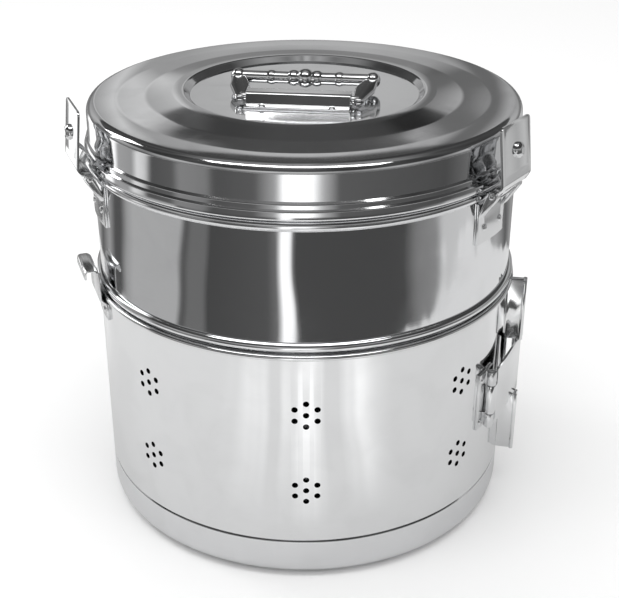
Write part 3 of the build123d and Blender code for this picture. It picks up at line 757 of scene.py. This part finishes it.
# %% A socket that can be calculated with
class Value:
    """Wraps a socket or a number, so that shader maths reads like arithmetic."""

    def __init__(self, tree, socket):
        self.tree, self.socket = tree, socket

    def maths(self, operation, *others):
        return add_node(
            self.tree, "ShaderNodeMath", {"operation": operation}, [self, *others]
        )

    def __add__(self, other):
        return self.maths("ADD", other)

    def __sub__(self, other):
        return self.maths("SUBTRACT", other)

    def __rsub__(self, other):
        return Value(self.tree, other).maths("SUBTRACT", self)

    def __mul__(self, other):
        return self.maths("MULTIPLY", other)

    def __truediv__(self, other):
        return self.maths("DIVIDE", other)

    __radd__, __rmul__ = __add__, __mul__


def add_node(tree, kind, settings, values, output=0):
    """Adds one node: its settings first, then the values or links of its inputs."""
    node = tree.nodes.new(kind)
    for name, value in settings.items():
        if name == "stops":
            ramp = node.color_ramp
            while len(ramp.elements) < len(value):
                ramp.elements.new(0.5)
            for element, (position, shade) in zip(ramp.elements, value):
                element.position = position
                element.color = (shade, shade, shade, 1)
        else:
            setattr(node, name, value)
    pairs = values.items() if isinstance(values, dict) else enumerate(values)
    for key, value in pairs:
        held = value.socket if isinstance(value, Value) else value
        if isinstance(held, bpy.types.NodeSocket):
            tree.links.new(held, node.inputs[key])
        else:
            node.inputs[key].default_value = held
    return Value(tree, node.outputs[output])


def coordinates(tree, kind):
    """Texture coordinates of a kind: the vector, and its x, y and z."""
    spot = add_node(tree, "ShaderNodeTexCoord", {}, [], kind)
    return spot, *(add_node(tree, "ShaderNodeSeparateXYZ", {}, [spot], axis) for axis in "XYZ")


def ramp(tree, stops, value):
    """A ramp of greys over a value."""
    return add_node(tree, "ShaderNodeValToRGB", {"stops": stops}, [value])


def blend(tree, share, first, second, way="MIX"):
    """A blend of two colours. Inputs 6 and 7 and output 2 are the Mix node's colours."""
    settings = {"data_type": "RGBA", "blend_type": way}
    return add_node(tree, "ShaderNodeMix", settings, {0: share, 6: first, 7: second}, 2)


# %% Polished steel
# How fast the polishing lines change along each coordinate. Small numbers make long lines.
GRAIN_TURN, GRAIN_SLOW, GRAIN_FAST = 5, 60, 2600
SMALL_ALONG, SMALL_ACROSS = 900, 3000
SMEAR_STOPS = [(0.46, 0.0), (0.74, 1.0)]
SMEAR_DULLS, SCRATCH_DULLS, DULLED = 0.5, 0.35, 0.9
SMEAR_ROUGH, SCRATCH_ROUGH, SCRATCH_DEPTH = 0.05, 0.05, 0.0012


def steel(name, tint, roughness, grain, waves):
    """Metal with polishing lines. grain is 'level' on walls, 'round' on the lid or 'none'."""
    material = bpy.data.materials.new(name)
    material.use_nodes = True
    tree = material.node_tree
    shader = tree.nodes["Principled BSDF"]
    spot, x, y, z = coordinates(tree, "Object")
    radius, turn = (x * x + y * y).maths("SQRT"), x.maths("ARCTAN2", y)
    if grain == "level":
        stretch = [turn * GRAIN_TURN, radius * GRAIN_SLOW, z * GRAIN_FAST]
    elif grain == "round":
        stretch = [turn * GRAIN_TURN, radius * GRAIN_FAST, z * GRAIN_FAST]
    else:
        stretch = [x * SMALL_ALONG, y * SMALL_ACROSS, z * SMALL_ACROSS]
    lines = add_node(tree, "ShaderNodeCombineXYZ", {}, stretch)
    scratches = add_node(
        tree, "ShaderNodeTexNoise", {}, {"Vector": lines, "Scale": 1.0, "Detail": 3.0},
    )
    sheet_waves = add_node(
        tree, "ShaderNodeTexNoise", {}, {"Vector": spot, "Scale": 16.0, "Detail": 1.0},
    )
    wiped = add_node(
        tree, "ShaderNodeTexNoise", {},
        {"Vector": spot, "Scale": 42.0, "Detail": 5.0, "Distortion": 0.6},
    )
    smear = ramp(tree, SMEAR_STOPS, wiped)
    dull = smear * SMEAR_DULLS + scratches * SCRATCH_DULLS
    bare = blend(tree, dull, (*tint, 1), (*[c * DULLED for c in tint], 1))
    rough = smear * SMEAR_ROUGH + scratches * SCRATCH_ROUGH + (roughness - SCRATCH_ROUGH / 2)
    wavy = add_node(
        tree, "ShaderNodeBump", {},
        {"Height": sheet_waves, "Distance": waves * MM, "Strength": 1.0},
    )
    lined = add_node(
        tree, "ShaderNodeBump", {},
        {"Height": scratches, "Distance": SCRATCH_DEPTH * MM, "Strength": 1.0, "Normal": wavy},
    )
    for value, socket in ((bare, "Base Color"), (rough, "Roughness"), (lined, "Normal")):
        tree.links.new(value.socket, shader.inputs[socket])
    shader.inputs["Metallic"].default_value = 1.0
    return material


# Tint, roughness, grain and the height of the waves in millimetres
FINISHES = {
    "body": steel("polished body steel", (0.86, 0.865, 0.875), 0.055, "level", 1.6),
    "lid": steel("polished lid steel", (0.84, 0.845, 0.855), 0.065, "round", 0.7),
    "belt": steel("polished belt steel", (0.88, 0.885, 0.89), 0.06, "level", 1.6),
    "handle": steel("polished handle steel", (0.85, 0.855, 0.86), 0.08, "none", 0.05),
    "clip": steel("pressed clip steel", (0.83, 0.835, 0.84), 0.1, "none", 0.05),
    "fitting": steel("satin fitting steel", (0.76, 0.765, 0.77), 0.18, "none", 0.03),
    "spring": steel("spring steel", (0.72, 0.725, 0.73), 0.22, "none", 0.02),
    "pin": steel("drawn rod steel", (0.75, 0.755, 0.76), 0.16, "none", 0.01),
    "rivet": steel("rivet steel", (0.82, 0.825, 0.83), 0.12, "none", 0.01),
}
slot_of = {part["node"]: part["material_slot"] for part in frame["record"]["subparts"]}
for thing in list(bpy.data.objects):
    if thing.type != "MESH":
        continue
    finish = FINISHES[thing.get("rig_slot") or slot_of[thing["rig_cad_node"]]]
    thing.data.materials.clear()
    thing.data.materials.append(finish)
print("finishes", len(FINISHES))

# %% [markdown]
# ## The room that the steel mirrors
#
# A mirror shows the room. The walls of the drum look down at the floor: the belt sees the white
# sheet that the drum stands on, and the upper body and the lid's skirt see past the sheet's
# edge, to dark room and bright windows. One large card on the floor holds all of that. Only
# reflections see it, and a photographer would lay out black and white boards for the same end.
# Its greys are a near and a far ring, each a ramp of patches that runs once round the drum.
# Over the white sheet the card is clear, but for a few streaks of glare.

# %% Helpers for the room
def polar(tree, kind):
    """Azimuth as a share of a turn, with the front at 0.5, distance from the axis, and height."""
    _, x, y, z = coordinates(tree, kind)
    turn = x.maths("ARCTAN2", y * -1) / (2 * pi) + 0.5
    return turn, (x * x + y * y).maths("SQRT"), z


def patches(*greys):
    """Ramp stops from pairs of azimuth in degrees and grey."""
    return [((azimuth + 180) / 360, grey) for azimuth, grey in greys]


def step_up(tree, value, low, high):
    """0 below low, 1 above high, and a straight rise between them."""
    return add_node(tree, "ShaderNodeMapRange", {}, [value, low, high])


def new_material(name):
    """An empty material, its node tree and its output node."""
    material = bpy.data.materials.new(name)
    material.use_nodes = True
    material.node_tree.nodes.clear()
    return material, material.node_tree, material.node_tree.nodes.new("ShaderNodeOutputMaterial")


# %% The floor
FLOOR_SIZE = 8.0             # metres
FLOOR_SEEN, FLOOR_MIRRORED = 1.0, 0.70       # its white for the camera and for everything else
let_go()
bpy.ops.mesh.primitive_plane_add(size=FLOOR_SIZE)
floor = bpy.context.object
floor.name = "floor"
paper, tree, output = new_material("white sheet")
looked_at = add_node(tree, "ShaderNodeLightPath", {}, [], "Is Camera Ray")
whiteness = looked_at * (FLOOR_SEEN - FLOOR_MIRRORED) + FLOOR_MIRRORED
sheet_white = add_node(tree, "ShaderNodeBsdfDiffuse", {}, [whiteness])
tree.links.new(sheet_white.socket, output.inputs["Surface"])
floor.data.materials.append(paper)

# %% The card that only reflections see
CARD_SIZE, CARD_HEIGHT = 7.0, 0.4 * MM       # metres
SHEET_EDGE = 0.368           # metres from the axis, where the white sheet ends
SHEET_BLUR, SHEET_RAGGED = 0.004, 0.1
FAR_START = (0.54, 0.6)      # where the near ring gives way to the far one
GLARE_RISE, GLARE_FALL, GLARE_STREAKS = (0.16, 0.24), (0.27, 0.34), 26
ROOM_POWER = 1.15
ROOM_NEAR = patches(
    (-180, 0.2), (-160, 0.08), (-140, 0.35), (-132, 0.3), (-124, 0.1), (-112, 0.3), (-104, 0.08),
    (-98, 0.08), (-92, 0.3), (-86, 0.38), (-56, 0.38), (-53, 0.07), (-49, 0.14), (-41, 0.14),
    (-38, 0.06), (-10, 0.08), (-5, 0.15), (-3, 1.1), (1, 1.1), (3, 0.06), (55, 0.06), (62, 0.18),
    (74, 0.22), (78, 0.5), (98, 0.55), (104, 0.15), (120, 0.35), (135, 0.1), (150, 0.3),
    (165, 0.08), (180, 0.2),
)
ROOM_FAR = patches(
    (-180, 0.3), (-150, 0.2), (-138, 0.25), (-134, 1.1), (-99, 1.1), (-96, 0.35), (-84, 0.3),
    (-80, 0.7), (-75, 0.6), (-71, 0.08), (-58, 0.1), (-54, 0.22), (-40, 0.2), (-36, 0.08),
    (-16, 0.1), (-6, 0.35), (-1, 1.5), (9, 1.5), (16, 0.45), (24, 0.1), (78, 0.07), (96, 0.15),
    (104, 0.5), (118, 0.38), (128, 0.5), (140, 0.15), (152, 0.5), (165, 0.12), (180, 0.3),
)
SHEET_REACH = patches(
    (-180, 0.0), (-150, 0.06), (-100, 0.0), (-60, 0.0), (-50, 0.04), (-30, 0.0), (38, 0.0),
    (62, 0.08), (110, 0.11), (145, 0.03), (180, 0.0),
)
SHEET_GLARE = patches(
    (-180, 0.25), (-150, 0.0), (-120, 0.15), (-100, 0.0), (-30, 0.0), (-12, 0.4), (30, 0.4),
    (46, 0.0), (110, 0.0), (125, 0.2), (150, 0.0), (180, 0.25),
)
let_go()
bpy.ops.mesh.primitive_plane_add(size=CARD_SIZE, location=(0, 0, CARD_HEIGHT))
room_card = bpy.context.object
room_card.name = "room_card"
room_paint, tree, output = new_material("room seen in steel")
azimuth, radius, _ = polar(tree, "Object")
near, far = ramp(tree, ROOM_NEAR, azimuth), ramp(tree, ROOM_FAR, azimuth)
room_grey = blend(tree, step_up(tree, radius, *FAR_START), near, far)
room_light = add_node(tree, "ShaderNodeEmission", {}, [room_grey, ROOM_POWER])
clear = add_node(tree, "ShaderNodeBsdfTransparent", {}, [])
spot = add_node(tree, "ShaderNodeTexCoord", {}, [], "Object")
ragged = add_node(tree, "ShaderNodeTexNoise", {}, {"Vector": spot, "Scale": 9.0, "Detail": 2.0})
edge = radius + (ragged - 0.5) * SHEET_RAGGED - ramp(tree, SHEET_REACH, azimuth)
past_sheet = step_up(tree, edge, SHEET_EDGE - SHEET_BLUR, SHEET_EDGE + SHEET_BLUR)
room = add_node(tree, "ShaderNodeMixShader", {}, {0: past_sheet, 1: clear, 2: room_light})
streaks = add_node(
    tree, "ShaderNodeTexNoise", {"noise_dimensions": "1D"},
    {"W": azimuth * GLARE_STREAKS, "Scale": 1.0},
)
glare = ramp(tree, SHEET_GLARE, azimuth) * step_up(tree, streaks, 0.3, 0.75)
glare = glare * step_up(tree, radius, *GLARE_RISE) * (1 - step_up(tree, radius, *GLARE_FALL))
glare_light = add_node(tree, "ShaderNodeEmission", {}, [(1, 1, 1, 1), glare])
both = add_node(tree, "ShaderNodeAddShader", {}, [room, glare_light])
tree.links.new(both.socket, output.inputs["Surface"])
room_card.data.materials.append(room_paint)
room_card.visible_camera = room_card.visible_diffuse = room_card.visible_shadow = False

# %% [markdown]
# ## Sky and lamps
#
# The lid looks up and away from the camera, at the room's walls and ceiling, so the world has
# its own greys for reflections: light up to a low height, dark above that, and lighter again
# overhead, with windows all round. Everything else is lit by a plain even white, and by two
# soft lamps.

# %% The world
WALLS = [
    (0.0, 0.16), (0.1, 0.22), (0.17, 0.36), (0.375, 0.4), (0.39, 0.06), (0.6, 0.05),
    (0.8, 0.07), (0.9, 0.2), (1.0, 0.3),
]
WINDOWS = patches(
    (-180, 1.0), (-176, 1.3), (-170, 1.3), (-166, 0.95), (-164, 0.95), (-163.5, 1.7), (-162, 1.7),
    (-161.5, 0.9), (-159.5, 0.9), (-159, 1.6), (-158, 1.6), (-157, 0.75), (-138, 1.3), (-120, 0.7),
    (-100, 1.2), (-80, 0.6), (-60, 1.3), (-35, 0.8), (-10, 1.5), (10, 1.5), (30, 0.7), (55, 1.2),
    (80, 0.6), (100, 1.3), (125, 0.8), (150, 1.2), (168, 0.9), (176, 1.05), (177, 0.4),
    (179, 0.4), (180, 1.0),
)
LIT_WHITE, SEEN_WHITE = (0.88, 0.88, 0.88, 1), (1, 1, 1, 1)
world = bpy.data.worlds.new("studio")
bpy.context.scene.world = world
world.use_nodes = True
tree = world.node_tree
tree.nodes.clear()
camera_ray = add_node(tree, "ShaderNodeLightPath", {}, [], "Is Camera Ray")
glossy_ray = add_node(tree, "ShaderNodeLightPath", {}, [], "Is Glossy Ray")
azimuth, _, height = polar(tree, "Generated")
mirrored = blend(tree, 1.0, ramp(tree, WALLS, height), ramp(tree, WINDOWS, azimuth), "MULTIPLY")
sky = blend(tree, camera_ray, blend(tree, glossy_ray, LIT_WHITE, mirrored), SEEN_WHITE)
background = add_node(tree, "ShaderNodeBackground", {}, [sky, 1.0])
output = tree.nodes.new("ShaderNodeOutputWorld")
tree.links.new(background.socket, output.inputs["Surface"])


# %% The lamps
LAMP_TARGET = Vector((0, 0, 120)) * MM


def lamp(name, azimuth, radius, height, width, depth, power):
    """A soft rectangular lamp that points at the drum. Sizes are millimetres, power is watts."""
    spot = place(azimuth, radius, height)
    bpy.ops.object.light_add(type="AREA", location=spot)
    light = bpy.context.object
    light.name = name
    light.rotation_euler = (LAMP_TARGET - spot).to_track_quat("-Z", "Y").to_euler()
    light.data.shape = "RECTANGLE"
    light.data.size, light.data.size_y = width * MM, depth * MM
    light.data.energy = power


lamp("overhead_softbox", azimuth=0, radius=380, height=1400, width=1500, depth=320, power=5.5)
lamp("left_softbox", azimuth=-110, radius=1300, height=800, width=400, depth=800, power=3)
